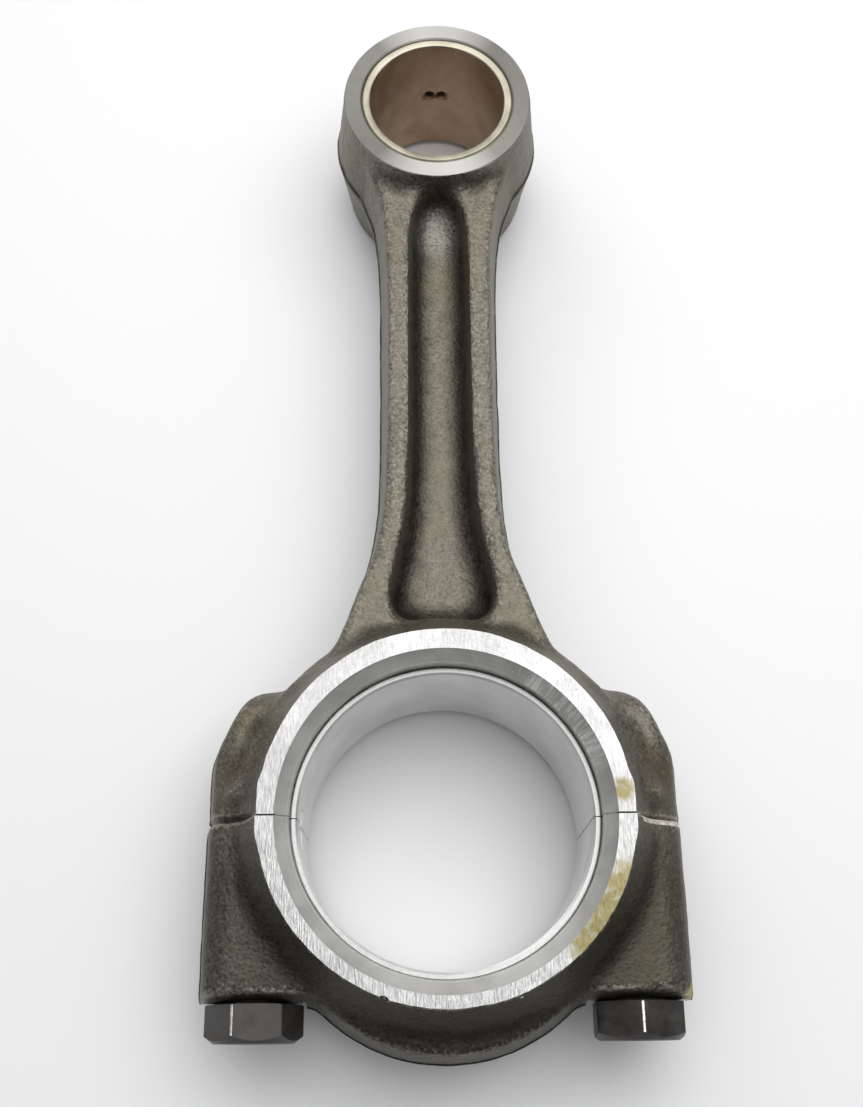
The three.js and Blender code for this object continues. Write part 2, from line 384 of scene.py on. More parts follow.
forgedLook = {
    "dark": (0.085, 0.077, 0.060), "light": (0.255, 0.24, 0.195), "olive": (0.17, 0.153, 0.10),
    "rubbed": (0.42, 0.40, 0.35), "deep": (0.014, 0.012, 0.009), "rust": (0.085, 0.048, 0.028),
    "oil": (0.50, 0.40, 0.10), "grainShare": 0.72, "rustAmount": 0.45,
    "paintedRampHighlight": (0.50, 0.48, 0.43), "paintedRampHighlightSpot": (0, 160, 6), "paintedRampHighlightReach": 11,    # a painted highlight on the pocket's ramp
    "shade": 0.5, "shadeSpan": (-45, 25),    # painted shade, darker toward the cap's end
    "foot": 0.42, "footSpan": (49, 60), "footFrom": (-3, -13),    # painted shade, a dark foot round the cap's ring
    "rustSpots": [((-46, 1.5, 8), 6.5), ((-50, 1.5, 3), 5), ((44, -2, 10), 5), ((47, 12, 12), 9),
                  ((-45, 12, 12), 7), ((-46, 25, 11), 6)],
    "oilSpots": [((53.5, -35.5, 3), 4.5), ((52.6, -36.5, 8), 3.0)],
}


def forgedSteel():
    # scale left by the forge, blasted clean: pitted grain, bright where it is rubbed, dark in the hollows
    # (partly scale, partly painted shade), with painted shade toward the cap's end and a painted
    # highlight on the ramp
    material, tree, skin = newFinish("forgedSteel", 0.85, 0.5)
    place = rodPlace(tree)
    ridge = addNode(tree, "Attribute", {}, attribute_name="ridge").outputs["Fac"]
    hollow = addNode(tree, "Attribute", {}, attribute_name="hollow").outputs["Fac"]
    drift = noiseOf(tree, place, 30, 2)
    patches = noiseOf(tree, place, 3.2, 6, 0.7)
    grain = noiseOf(tree, place, 0.8, 5, 0.65)
    pits = between(tree, pitsOf(tree, place, 1.1), 0.1, 0.55)
    share = forgedLook["grainShare"]
    tone = plus(tree, times(tree, patches, 1 - share), times(tree, grain, share))
    colour = mixed(tree, between(tree, tone, 0.36, 0.66), forgedLook["dark"], forgedLook["light"])
    colour = mixed(tree, between(tree, drift, 0.45, 0.7, 0.0, 0.5), colour, forgedLook["olive"])
    along = splitOf(tree, place)[1]
    # painted shade: the forging is darkened toward the cap's end, where the light falls off
    shade = between(tree, along, *forgedLook["shadeSpan"], forgedLook["shade"], 1.0)
    colour = mixed(tree, 1.0, colour, shade, "MULTIPLY")
    # painted shade: a dark foot round the cap's ring, below the joint
    reach = lengthOf(tree, outwardOf(tree, place))
    foot = between(tree, reach, *forgedLook["footSpan"], forgedLook["foot"], 0.0)
    foot = times(tree, foot, between(tree, along, *forgedLook["footFrom"]))
    colour = mixed(tree, foot, colour, forgedLook["deep"])
    rust = stainOf(tree, place, forgedLook["rustSpots"])
    colour = mixed(tree, times(tree, rust, forgedLook["rustAmount"]), colour, forgedLook["rust"])
    oil = stainOf(tree, place, forgedLook["oilSpots"], 1.5)
    colour = mixed(tree, oil, colour, forgedLook["oil"])
    rubbed = plus(tree, ridge, times(tree, maths(tree, "SUBTRACT", grain, 0.5), 0.9))
    rubbed = between(tree, rubbed, 0.16, 0.5, 0.0, 0.75)
    colour = mixed(tree, rubbed, colour, forgedLook["rubbed"])
    # the hollows darkened: partly scale lodged in them, partly painted shade where little light reaches
    colour = mixed(tree, between(tree, hollow, -0.03, -0.12, 0.0, 0.8), colour, forgedLook["deep"])
    # painted highlight: a soft bright patch on the pocket's ramp, standing in for light caught there
    paintedRampHighlight = nearTo(tree, place, forgedLook["paintedRampHighlightSpot"], forgedLook["paintedRampHighlightReach"])
    paintedRampHighlight = times(tree, paintedRampHighlight, between(tree, grain, 0.3, 0.7, 0.1, 0.55))
    colour = mixed(tree, paintedRampHighlight, colour, forgedLook["paintedRampHighlight"])
    roughness = between(tree, grain, 0.35, 0.65, 0.38, 0.56)
    normal = raised(tree, noiseOf(tree, place, 2.2, 4, 0.6), 0.2)
    normal = raised(tree, grain, 0.18, normal)
    normal = raised(tree, pits, 0.06, normal)
    connect(tree, skin, colour, roughness, normal)
    return material


sandedLook = {
    "low": (0.25, 0.245, 0.245), "high": (0.60, 0.595, 0.59), "oil": (0.19, 0.155, 0.035),
    "oilSpots": [((38, -15, 21.8), 8), ((34.5, -21, 21.8), 9), ((30, -27, 21.8), 8),
                 ((38.5, 5, 21.8), 4)],
    "calm": 0.65, "calmSpan": (-15, 22),    # the rod's strokes are finer than the cap's
}


def sandedSteel():
    # the big end's faces, rubbed flat along the rod, with drawn strokes and oil stains
    material, tree, skin = newFinish("sandedSteel", 1.0, 0.4)
    place = rodPlace(tree)
    strokes = noiseOf(tree, stretched(tree, place, (1, 0.14, 1)), 0.42, 3, 0.6)
    calm = between(tree, splitOf(tree, place)[1], *sandedLook["calmSpan"], 0.0, sandedLook["calm"])
    strokes = plus(tree, strokes, times(tree, maths(tree, "SUBTRACT", 0.5, strokes), calm))
    fine = noiseOf(tree, place, 0.5, 4)
    broad = noiseOf(tree, place, 9, 3)
    colour = mixed(tree, between(tree, strokes, 0.3, 0.7), sandedLook["low"], sandedLook["high"])
    stain = stainOf(tree, place, sandedLook["oilSpots"], 2.2)
    stain = times(tree, stain, between(tree, strokes, 0.3, 0.7, 0.65, 1.0))
    colour = mixed(tree, stain, colour, sandedLook["oil"])
    roughness = between(tree, plus(tree, fine, broad), 0.7, 1.3, 0.3, 0.5)
    normal = raised(tree, strokes, 0.14)
    normal = raised(tree, fine, 0.015, normal)
    connect(tree, skin, colour, roughness, normal)
    return material


def turnedSteel(name, tone, depth, fan, centreY=0.0, chatter=None):
    # faces and chamfers cut round a bore, so light spreads across the tool's lines, with a
    # painted highlight, a brighter sector as strong as fan, toward each end of the rod
    material, tree, skin = newFinish(name, 0.9, 0.45)
    place = rodPlace(tree, centreY)
    outward = outwardOf(tree, place)
    tree.links.new(outward, skin.inputs["Tangent"])
    skin.inputs["Anisotropic"].default_value = 0.8
    rings = ringOf(tree, place, 0.35)
    cloud = noiseOf(tree, place, 6, 4)
    dark = tuple(part * 0.86 for part in tone)
    colour = mixed(tree, between(tree, cloud, 0.35, 0.65), dark, tone)
    # painted highlight: sectors where the radius runs along the rod are lightened, standing in for a
    # turned face's reflection
    lying = addNode(tree, "VectorMath", {0: outward}, operation="NORMALIZE").outputs[0]
    lying = maths(tree, "ABSOLUTE", splitOf(tree, lying)[1])
    colour = mixed(tree, between(tree, lying, 0.75, 0.98, 0.0, fan), colour, (0.80, 0.79, 0.75))
    roughness = between(tree, cloud, 0.3, 0.7, 0.36, 0.44)
    normal = raised(tree, rings, depth)
    normal = raised(tree, noiseOf(tree, place, 1.1, 3), 0.02, normal)
    if chatter:
        # a tool's chatter, short scratches across the chamfer at one side
        marks = noiseOf(tree, stretched(tree, turnedAbout(tree, place), (1, 0.12, 0.12)), 0.55, 3)
        amount = times(tree, marks, nearTo(tree, place, chatter, 30))
        normal = raised(tree, amount, 0.03, normal)
        colour = mixed(tree, between(tree, amount, 0.45, 0.62, 0.0, 0.45), colour, (0.85, 0.84, 0.83))
    connect(tree, skin, colour, roughness, normal)
    return material


def groundSteel():
    # the joint faces, bolt seats, holes and bores, which show when the rod is taken apart
    material, tree, skin = newFinish("groundSteel", 1.0, 0.35)
    place = rodPlace(tree)
    lines = noiseOf(tree, stretched(tree, place, (0.12, 1, 1)), 0.4, 3)
    colour = mixed(tree, between(tree, noiseOf(tree, place, 7, 4), 0.35, 0.65),
                   (0.33, 0.32, 0.30), (0.50, 0.49, 0.47))
    roughness = between(tree, lines, 0.3, 0.7, 0.28, 0.42)
    connect(tree, skin, colour, roughness, raised(tree, lines, 0.03))
    return material


def bearingMetal():
    # satin lining, bored to size, so its lines run round the crankpin
    material, tree, skin = newFinish("bearingMetal", 1.0, 0.3)
    place = rodPlace(tree)
    lines = noiseOf(tree, stretched(tree, place, (0.03, 0.03, 1)), 0.3, 3)
    cloud = noiseOf(tree, place, 11, 4)
    colour = mixed(tree, between(tree, cloud, 0.35, 0.65), (0.66, 0.66, 0.65), (0.76, 0.76, 0.75))
    roughness = between(tree, cloud, 0.3, 0.7, 0.32, 0.4)
    normal = raised(tree, lines, 0.02)
    normal = raised(tree, noiseOf(tree, place, 0.6, 2), 0.006, normal)
    connect(tree, skin, colour, roughness, normal)
    return material


def bushBronze(name, dark, light, metallic):
    material, tree, skin = newFinish(name, metallic, 0.35)
    place = rodPlace(tree, rodPlan["centreDistance"])
    lines = noiseOf(tree, stretched(tree, place, (0.05, 0.05, 1)), 0.35, 3)
    cloud = noiseOf(tree, place, 7, 5)
    colour = mixed(tree, between(tree, cloud, 0.35, 0.68), dark, light)
    roughness = between(tree, cloud, 0.3, 0.7, 0.3, 0.48)
    connect(tree, skin, colour, roughness, raised(tree, lines, 0.025))
    return material


def blackenedSteel():
    material, tree, skin = newFinish("blackenedSteel", 0.35, 0.4)
    place = rodPlace(tree)
    grain = noiseOf(tree, place, 0.35, 4)
    cloud = noiseOf(tree, place, 4, 5)
    colour = mixed(tree, between(tree, cloud, 0.35, 0.7), (0.024, 0.022, 0.020), (0.065, 0.060, 0.054))
    roughness = between(tree, cloud, 0.3, 0.7, 0.3, 0.5)
    connect(tree, skin, colour, roughness, raised(tree, grain, 0.02))
    return material


def wornSteel(name, dark, light, smooth=0.22, dull=0.4):
    # bare metal where a wrench or a die has rubbed
    material, tree, skin = newFinish(name, 1.0, 0.3)
    place = rodPlace(tree)
    rub = noiseOf(tree, place, 1.4, 5)
    colour = mixed(tree, between(tree, rub, 0.3, 0.6), dark, light)
    roughness = between(tree, rub, 0.3, 0.7, smooth, dull)
    connect(tree, skin, colour, roughness, raised(tree, noiseOf(tree, place, 0.3, 3), 0.015))
    return material


print("finishes")
finishes = {
    "forged": forgedSteel(),
    "sanded": sandedSteel(),
    "housing": turnedSteel("housingChamfer", (0.40, 0.395, 0.38), depth=0.035, fan=0.12,
                           chatter=(27, 24, 21)),
    "pinFace": turnedSteel("pinBossFace", (0.22, 0.215, 0.19), depth=0.03, fan=0.38,
                           centreY=rodPlan["centreDistance"]),
    "ground": groundSteel(),
    "lining": bearingMetal(),
    "shellEdge": wornSteel("shellEdge", (0.36, 0.36, 0.355), (0.52, 0.52, 0.515), 0.34, 0.5),
    "bushBore": bushBronze("bushBore", (0.36, 0.26, 0.18), (0.52, 0.40, 0.29), 0.8),
    "bushEnd": bushBronze("bushEnd", (0.34, 0.315, 0.24), (0.50, 0.47, 0.38), 0.9),
    "black": blackenedSteel(),
    "wornEdge": wornSteel("wornEdge", (0.30, 0.29, 0.28), (0.85, 0.84, 0.83)),
    "filed": wornSteel("filedEdge", (0.32, 0.28, 0.23), (0.80, 0.76, 0.68), 0.5, 0.65),
    "pinSteel": wornSteel("pinSteel", (0.50, 0.49, 0.47), (0.72, 0.71, 0.69)),
}


# Finishing a piece
def markBends(mesh, near=2, wide=10):
    # ridge is how sharply the surface bends, above 0 on ridges and below 0 in hollows, and
    # hollow is the part below 0, spread wider
    count = len(mesh.vertices)
    places = np.empty(count * 3)
    normals = np.empty(count * 3)
    ends = np.empty(len(mesh.edges) * 2, np.int32)
    mesh.vertices.foreach_get("co", places)
    mesh.vertices.foreach_get("normal", normals)
    mesh.edges.foreach_get("vertices", ends)
    places, normals, ends = places.reshape(-1, 3), normals.reshape(-1, 3), ends.reshape(-1, 2)
    first, second = ends[:, 0], ends[:, 1]
    along = places[second] - places[first]
    bend = ((normals[second] - normals[first]) * along).sum(1) / np.maximum((along ** 2).sum(1), 0.02)
    sharing = np.maximum(np.bincount(ends.ravel(), minlength=count), 1)
    level = (np.bincount(first, bend, count) + np.bincount(second, bend, count)) / sharing
    for name, rounds in (("ridge", near), ("hollow", wide)):
        for turn in range(rounds):
            around = np.bincount(first, level[second], count) + np.bincount(second, level[first], count)
            level = (level + around / sharing) / 2
        layer = mesh.attributes.new(name, "FLOAT", "POINT")
        layer.data.foreach_set("value", level.astype(np.float32))
        level = np.minimum(level, 0.0)


def dress(piece, names, choose):
    # the finishes a piece wears, and which one each face takes
    piece.data.materials.clear()
    for name in names:
        piece.data.materials.append(finishes[name])
    for face in piece.data.polygons:
        face.material_index = names.index(choose(face.center, face.normal))


def settle(piece, body, slot, *nodes):
    piece.data.shade_smooth()
    piece.data.set_sharp_from_angle(angle=math.radians(32))
    piece.data.transform(toFrame)
    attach(piece, body)
    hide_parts(*nodes)
    print(piece.name, sum(len(face.vertices) - 2 for face in piece.data.polygons), "triangles")


# The forging: rod and cap in one, as they leave the dies
forging = {
    "beamSide": [(52.0, 3), (39, 29.5), (29.4, 37.4), (24.9, 46.0), (21.5, 55.5), (18.1, 64.5),
                 (15.9, 77), (15.25, 92), (15.15, 108), (15.25, 125), (15.4, 142), (16.1, 154),
                 (17.6, 164), (21, 175), (21, 190)],
    "flangeHalf": 15.0, "flangeDraft": 2.1,
    "pocketSide": [(10.0, 42), (11.9, 49), (12.7, 54), (11.3, 61.5), (9.1, 73), (8.15, 88),
                   (7.95, 106), (7.95, 125), (7.95, 145), (7.4, 155), (6.2, 161.5), (3.6, 165.5),
                   (0, 166.8)],
    "webHalf": 4.0, "pocketDraft": 1.6,
    "pocketRamps": [((0, 48.7, 7.0), (0, -0.9, -0.62)), ((0, 153.5, 4.0), (0, 0.34, -0.94))],
    "ringCentreY": 1.0,
    "ringWall": [(48.0, 0), (46.7, 12.3), (44.4, 15.6), (42.7, 18.4), (41.0, 21.8), (40.2, 23.4)],
    "ringFlat": 41.1, "ringFlatLow": -5.0, "ringFlatHigh": 7.5, "ringFlatHalf": 23,
    "pinBossWall": [(27.6, 0), (25.0, 20.2), (24.8, 21.8)],
    "bossPlan": [(54.3, -38.6), (54.25, -20), (54.15, 0), (54.1, 12), (53.8, 15.5), (53.0, 18.0),
                 (51.6, 21.0), (50.2, 24.2), (48.2, 27.8), (46.0, 30.2), (42.4, 32.0), (38.6, 32.5),
                 (34.3, 33.4), (29, 37.6), (21, 43)],
    "bossInner": [(14, 44), (14, -38.6)],
    "bossAcross": [(54.5, 0), (54.0, 3), (52.9, 8), (51.3, 10.5), (48.2, 12.3), (44, 12.8), (14, 13.2)],
    "bossAlong": [(33.2, 0), (32.6, 3), (30.9, 8), (28.8, 10.8), (25.5, 12.5), (20, 13), (-50, 13.2)],
    "bossDraft": 2.4, "bossHalf": 13.4,
    "archCentreY": -10.9, "archRadius": 40.0, "archDraft": 1.9, "archHalf": 12.5,
    "filletRadius": 3.2, "voxel": 0.8, "lumps": [(9, 0.34), (2.6, 0.2)],
    "flashHalf": 0.35, "flashFoot": 0.8, "flashProud": 0.32,
    "rodEdge": (1.5, 0.7), "capEdge": (0.6, 1.4), "capSlope": (1.0, 0.35),    # at left and at right
    "edgeFrom": 41.5, "edgeFade": 3, "capWider": 1.006,
}


def pocketTool():
    # fills one pocket: open above the flanges, drafted walls, and a ramp up at each end
    over = 8.0    # how far it runs on over the flanges
    bm = outlineFace(mirrored(smoothLine(forging["pocketSide"])[:-1]), forging["flangeHalf"])
    bmesh.ops.reverse_faces(bm, faces=bm.faces)
    deep = forging["flangeHalf"] - forging["webHalf"]
    bmesh.ops.inset_region(bm, faces=bm.faces[:], thickness=forging["pocketDraft"], depth=deep,
                           use_boundary=True, use_even_offset=True)
    lid = bmesh.ops.extrude_edge_only(bm, edges=[edge for edge in bm.edges if edge.is_boundary])
    lidVerts = [v for v in lid["geom"] if isinstance(v, bmesh.types.BMVert)]
    bmesh.ops.translate(bm, verts=lidVerts, vec=(0, 0, over))
    bmesh.ops.contextual_create(bm, geom=[edge for edge in bm.edges if edge.is_boundary])
    for point, slope in forging["pocketRamps"]:
        cut = bmesh.ops.bisect_plane(bm, geom=bm.verts[:] + bm.edges[:] + bm.faces[:],
                                     plane_co=point, plane_no=slope, clear_outer=True)
        edges = [e for e in cut["geom_cut"] if isinstance(e, bmesh.types.BMEdge)]
        bmesh.ops.contextual_create(bm, geom=edges)
    bmesh.ops.recalc_face_normals(bm, faces=bm.faces)
    return bm


def boltBoss(side):
    # one bolt boss with its shoulder: its plan, rounded across the rod and along it
    plan = smoothLine(forging["bossPlan"], 3) + forging["bossInner"]
    boss = asObject("boss", forgedPlate(plan, forging["bossDraft"], forging["bossHalf"]))
    keepWithin(boss, prism(sectionOutline(forging["bossAcross"]), -60, 60, standAcross),
               prism(sectionOutline(forging["bossAlong"]), -80, 80, standAlong))
    bm = asBmesh(boss)
    bpy.data.objects.remove(boss)
    if side < 0:
        flipped(bm, (-1, 1, 1))
    return bm


def archOutline():
    # the arch under the cap, closed inside the ring
    angles = [math.radians(turn) for turn in range(-150, -29, 5)]
    reach, centreY = forging["archRadius"], forging["archCentreY"]
    return [(reach * math.cos(a), centreY + reach * math.sin(a)) for a in angles] + [(20, 0), (-20, 0)]


def forgeBlank():
    piece = asObject("blank", forgedPlate(mirrored(smoothLine(forging["beamSide"])),
                                          forging["flangeDraft"], forging["flangeHalf"]))
    cutAway(piece, pocketTool(), flipped(pocketTool()))
    addOn(piece, boltBoss(1), boltBoss(-1))
    addOn(piece, forgedPlate(archOutline(), forging["archDraft"], forging["archHalf"]))
    addOn(piece, spun(bothWays(forging["ringWall"]), 160, (0, forging["ringCentreY"], 0)))
    flat, high = forging["ringFlat"], forging["ringFlatHalf"]
    addOn(piece, block((-flat, forging["ringFlatLow"], -high), (flat, forging["ringFlatHigh"], high)))
    addOn(piece, spun(bothWays(forging["pinBossWall"]), 128, (0, rodPlan["centreDistance"], 0)))
    # growing and shrinking again leaves the dies' fillets in every inside corner
    remesh(piece, forging["voxel"])
    grow(piece, forging["filletRadius"])
    remesh(piece, forging["voxel"])
    grow(piece, -forging["filletRadius"])
    remesh(piece, forging["voxel"])
    soften(piece, 4)
    for size, height in forging["lumps"]:
        roughen(piece, size, height)
    return piece


def trimFlash(bm):
    # the thin line all round where the flash between the dies was trimmed
    half, foot = forging["flashHalf"], forging["flashFoot"]
    for height in (-foot, -half, half, foot):
        score(bm, (0, 0, height), (0, 0, 1))
    bm.normal_update()
    for vert in bm.verts:
        if abs(vert.co.z) < half + 0.01 and abs(vert.normal.z) < 0.6:
            vert.co += vert.normal * forging["flashProud"]


def chamferJoint(bm):
    # the joint's outer edges, dressed back by hand before rod and cap are cut apart
    gap = rodPlan["jointGap"]
    for height in (*forging["rodEdge"], gap, -gap, *(-edge for edge in forging["capEdge"])):
        score(bm, (0, height, 0), (0, 1, 0))
    bm.normal_update()
    for vert in bm.verts:
        edge = forging["rodEdge" if vert.co.y > 0 else "capEdge"][vert.co.x > 0]
        depth = edge - max(abs(vert.co.y), gap)
        slope = forging["capSlope"][vert.co.x > 0] if vert.co.y < 0 else 1.0
        outside = min(max((abs(vert.co.x) - forging["edgeFrom"]) / forging["edgeFade"], 0), 1)
        if depth > 0.01 and outside:
            inward = -Vector((vert.normal.x, 0, vert.normal.z)).normalized()
            vert.co += inward * depth * outside * slope


def halfOf(whole, name, side):
    # the rod's half of the blank, above the joint, or the cap's, below it
    bm = asBmesh(whole)
    if side < 0:
        bmesh.ops.scale(bm, vec=(forging["capWider"], 1, 1), verts=bm.verts)
    gap = rodPlan["jointGap"] * side
    cut = bmesh.ops.bisect_plane(bm, geom=bm.verts[:] + bm.edges[:] + bm.faces[:], dist=0.0001,
                                 plane_co=(0, gap, 0), plane_no=(0, side, 0), clear_inner=True)
    rim = [e for e in cut["geom_cut"] if isinstance(e, bmesh.types.BMEdge)]
    bmesh.ops.holes_fill(bm, edges=rim, sides=0)
    bmesh.ops.recalc_face_normals(bm, faces=bm.faces)
    return asObject(name, bm)


print("forging")
blank = forgeBlank()
blankShape = asBmesh(blank)
trimFlash(blankShape)
chamferJoint(blankShape)
blankShape.to_mesh(blank.data)
blankShape.free()
rodForging = halfOf(blank, "rodForging", 1)
capForging = halfOf(blank, "capForging", -1)
bpy.data.objects.remove(blank)

# Machining
machining = {
    "housingChamfer": [(34.28, 19.65), (36.9, 21.4), (37.3, 21.75), (43.3, 26)],
    "pinBoreMouth": [(20.4, 19.85), (20.75, 20.2), (26.6, 26)],
    "pinFaceRadius": 24.85, "pinFaceEdge": 25.25, "pinFaceReach": 34,
    "seatY": -37.8, "seatInner": 30.8, "capHole": 6.3,
    "rodHoleCrest": 6.12, "rodHoleRoot": 6.6, "rodHoleDepth": 25.0, "threadPitch": 1.25,
    "rodHoleMouth": 0.6, "rodHolePilot": 5.82,
    "jointGroove": [(-0.5, 22.4), (0.5, 22.4), (0, 21.4)],
    "oilRadius": 1.2, "oilSpacing": 3.4, "oilSink": 2.0, "oilFrom": 10.0,
    "tangFoot": (5.0, 9.5), "tangReach": 4.2, "tangTip": -33.3, "tangFrom": 0.1, "tangSlack": 0.3,
    "nick": (-13.6, -38.6, 22.4), "nickRadius": 1.5,
}
boltLeftLow, boltLeftHigh = rodBox("cap_bolt_left")
boltX = -(boltLeftLow.x + boltLeftHigh.x) / 2
beyond = 60.0    # past the sides of the big end
above = 40.0    # past its faces


def throughBore(mouth, centreY=0.0, steps=192):
    wall = [(mouth[0][0], 0), *mouth]
    return spun(bothWays(wall), steps, (0, centreY, 0))


def faceBigEnd(piece):
    height = rodPlan["bigFace"]
    cutAway(piece, block((-beyond, -beyond, height), (beyond, beyond, above)),
            block((-beyond, -beyond, -above), (beyond, beyond, -height)))
    cutAway(piece, throughBore(machining["housingChamfer"]))


def jointGroove():
    return prism(machining["jointGroove"], -beyond, beyond, standAlong)


def breakJoint(piece):
    # the edge broken at the joint across both big-end faces
    cutAway(piece, jointGroove(), flipped(jointGroove()))


def faceSmallEnd(piece):
    height, edge = rodPlan["smallFace"], machining["pinFaceEdge"]
    flat, reach = machining["pinFaceRadius"], machining["pinFaceReach"]
    step = height - (edge - flat)
    cutter = [(0, height), (flat, height), (edge, step), (reach, step), (reach, above), (0, above)]
    centre = (0, rodPlan["centreDistance"], 0)
    cutAway(piece, spun(cutter, 128, centre), flipped(spun(cutter, 128, centre)))
    cutAway(piece, throughBore(machining["pinBoreMouth"], rodPlan["centreDistance"], 128))


def tappedHole(x):
    # the rod's blind hole, with a groove for each turn of the thread
    crest, root, pilot = machining["rodHoleCrest"], machining["rodHoleRoot"], machining["rodHolePilot"]
    pitch, deep, mouth = machining["threadPitch"], machining["rodHoleDepth"], machining["rodHoleMouth"]
    past, plain = 3.0, 2.0    # the mouth's cutter runs out past the joint, and the thread stops short
    profile = [(0, -past), (root + mouth + past, -past), (root, mouth)]
    for turn in range(1, int((deep - plain) / pitch)):
        profile += [(crest, turn * pitch), (root, (turn + 0.5) * pitch)]
    profile += [(pilot, deep - 1.5), (pilot, deep), (0, deep + past)]
    return spun(profile, 48, (x, 0, 0), alongY)


def pinHoles(node, clearance):
    # a dowel's hole, a little deeper than the dowel
    low, high = rodBox(node)
    middle = (low + high) / 2
    radius = (high.x - low.x) / 2 + clearance
    start, end = low.y - 0.5, high.y + 0.5
    profile = [(0, start), (radius, start), (radius, end), (0, end)]
    return spun(profile, 48, (middle.x, 0, middle.z), alongY)


def oilHoles():
    # two holes from the crown of the boss into the bush, close enough for their mouths to run
    # together
    start = rodPlan["centreDistance"] + machining["oilFrom"]
    crown = rodPlan["centreDistance"] + forging["pinBossWall"][0][0]
    radius, sink = machining["oilRadius"], machining["oilSink"]
    for x in (-machining["oilSpacing"] / 2, machining["oilSpacing"] / 2):
        profile = [(0, start), (radius, start), (radius, crown - sink / 2),
                   (radius + sink, crown + sink / 2), (0, crown + sink / 2)]
        yield spun(profile, 32, (x, 0, 0), alongY)


def tangSlot(low, high):
    slack = Vector((machining["tangSlack"],) * 3)
    return block(low - slack, high + slack)


def tangBox(side):
    # the bearing shells' locating tangs, at the left of the joint
    low, high = rodBox("upper_bearing_shell" if side > 0 else "lower_bearing_shell")
    ends = sorted((machining["tangFrom"] * side, machining["tangReach"] * side))
    foot = machining["tangFoot"]
    return Vector((low.x, ends[0], foot[0])), Vector((machining["tangTip"], ends[1], foot[1]))


print("machining the rod")
faceBigEnd(rodForging)
breakJoint(rodForging)
faceSmallEnd(rodForging)
cutAway(rodForging, tappedHole(boltX), tappedHole(-boltX))
cutAway(rodForging, pinHoles("dowel_left", 0.08), pinHoles("dowel_right", 0.08), *oilHoles())
cutAway(rodForging, tangSlot(*tangBox(1)))

print("machining the cap")
faceBigEnd(capForging)
breakJoint(capForging)
seatY, seatInner = machining["seatY"], machining["seatInner"]
cutAway(capForging, block((seatInner, -beyond, -above), (beyond, seatY, above)),
        block((-beyond, -beyond, -above), (-seatInner, seatY, above)))
for x in (boltX, -boltX):
    cutAway(capForging, spun(drilled(machining["capHole"], seatY, 0, 0.5, 0.6), 64, (x, 0, 0), alongY))
cutAway(capForging, pinHoles("dowel_left", 0.03), pinHoles("dowel_right", 0.03), tangSlot(*tangBox(-1)))
nick = bmesh.new()
bmesh.ops.create_icosphere(nick, subdivisions=2, radius=machining["nickRadius"],
                           matrix=Matrix.Translation(machining["nick"]))
cutAway(capForging, nick)


def holeReach(y):
    # how far from its axis a bolt hole's wall can lie: most in the cap and by the joint, and
    # least in the cone past the rod's hole
    end = machining["rodHoleDepth"]
    if y < 6:
        return 7.2
    return 6.7 if y < end else 5.9 - (y - end) * 1.9


def forgingFinish(centre, normal):
    # which finish a face of the rod or cap takes, from where it is and how it lies
    x, y, z = centre
    slack, margin = 0.02, 0.3
    reach, pinReach = math.hypot(x, y), math.hypot(x, y - rodPlan["centreDistance"])
    bore, boreEnd = machining["housingChamfer"][0]
    chamferEnd, pinMouth = machining["housingChamfer"][2][0], machining["pinBoreMouth"][1][0]
    pinFace, pinFaceLow = machining["pinFaceEdge"] + 0.15, rodPlan["smallFace"] - 0.45
    if abs(normal.z) > 0.98 and abs(abs(z) - rodPlan["bigFace"]) < slack:
        return "sanded"
    if reach < bore + margin and abs(normal.z) < 0.1 and abs(z) < boreEnd + 0.05:
        return "ground"
    if reach < chamferEnd + margin and abs(z) > boreEnd - 0.05:
        return "housing"
    if pinReach < pinFace and abs(z) > pinFaceLow and abs(normal.z) > 0.5:
        return "pinFace"
    if pinReach < pinMouth + 0.25 or abs(y) < rodPlan["jointGap"] + slack or abs(y - seatY) < slack:
        return "ground"
    edge = -forging["capEdge"][1] * 0.9
    if 0 > y > edge and x > forging["edgeFrom"] + margin and abs(normal.y) > 0.15:
        return "filed"
    if math.hypot(abs(x) - boltX, z) < holeReach(y):
        return "ground"
    return "forged"


for piece, body, node in ((rodForging, "rod", "rod_body"), (capForging, "cap", "bearing_cap")):
    markBends(piece.data)
    dress(piece, ["forged", "sanded", "housing", "pinFace", "ground", "filed"], forgingFinish)
    settle(piece, body, "forged_steel", node)

# Bearing shells
shellLow, shellHigh = rodBox("upper_bearing_shell")
shell = {
    "outer": shellHigh.x, "wall": 1.7, "halfWidth": shellHigh.z,
    "outerEdge": 0.3, "innerEdge": 0.55, "innerEdgeDrop": 0.35, "jointGap": 0.1,
    "reliefHeight": 7.0, "reliefDepth": 0.12, "tangWall": 0.7, "tangDent": 0.8,
}


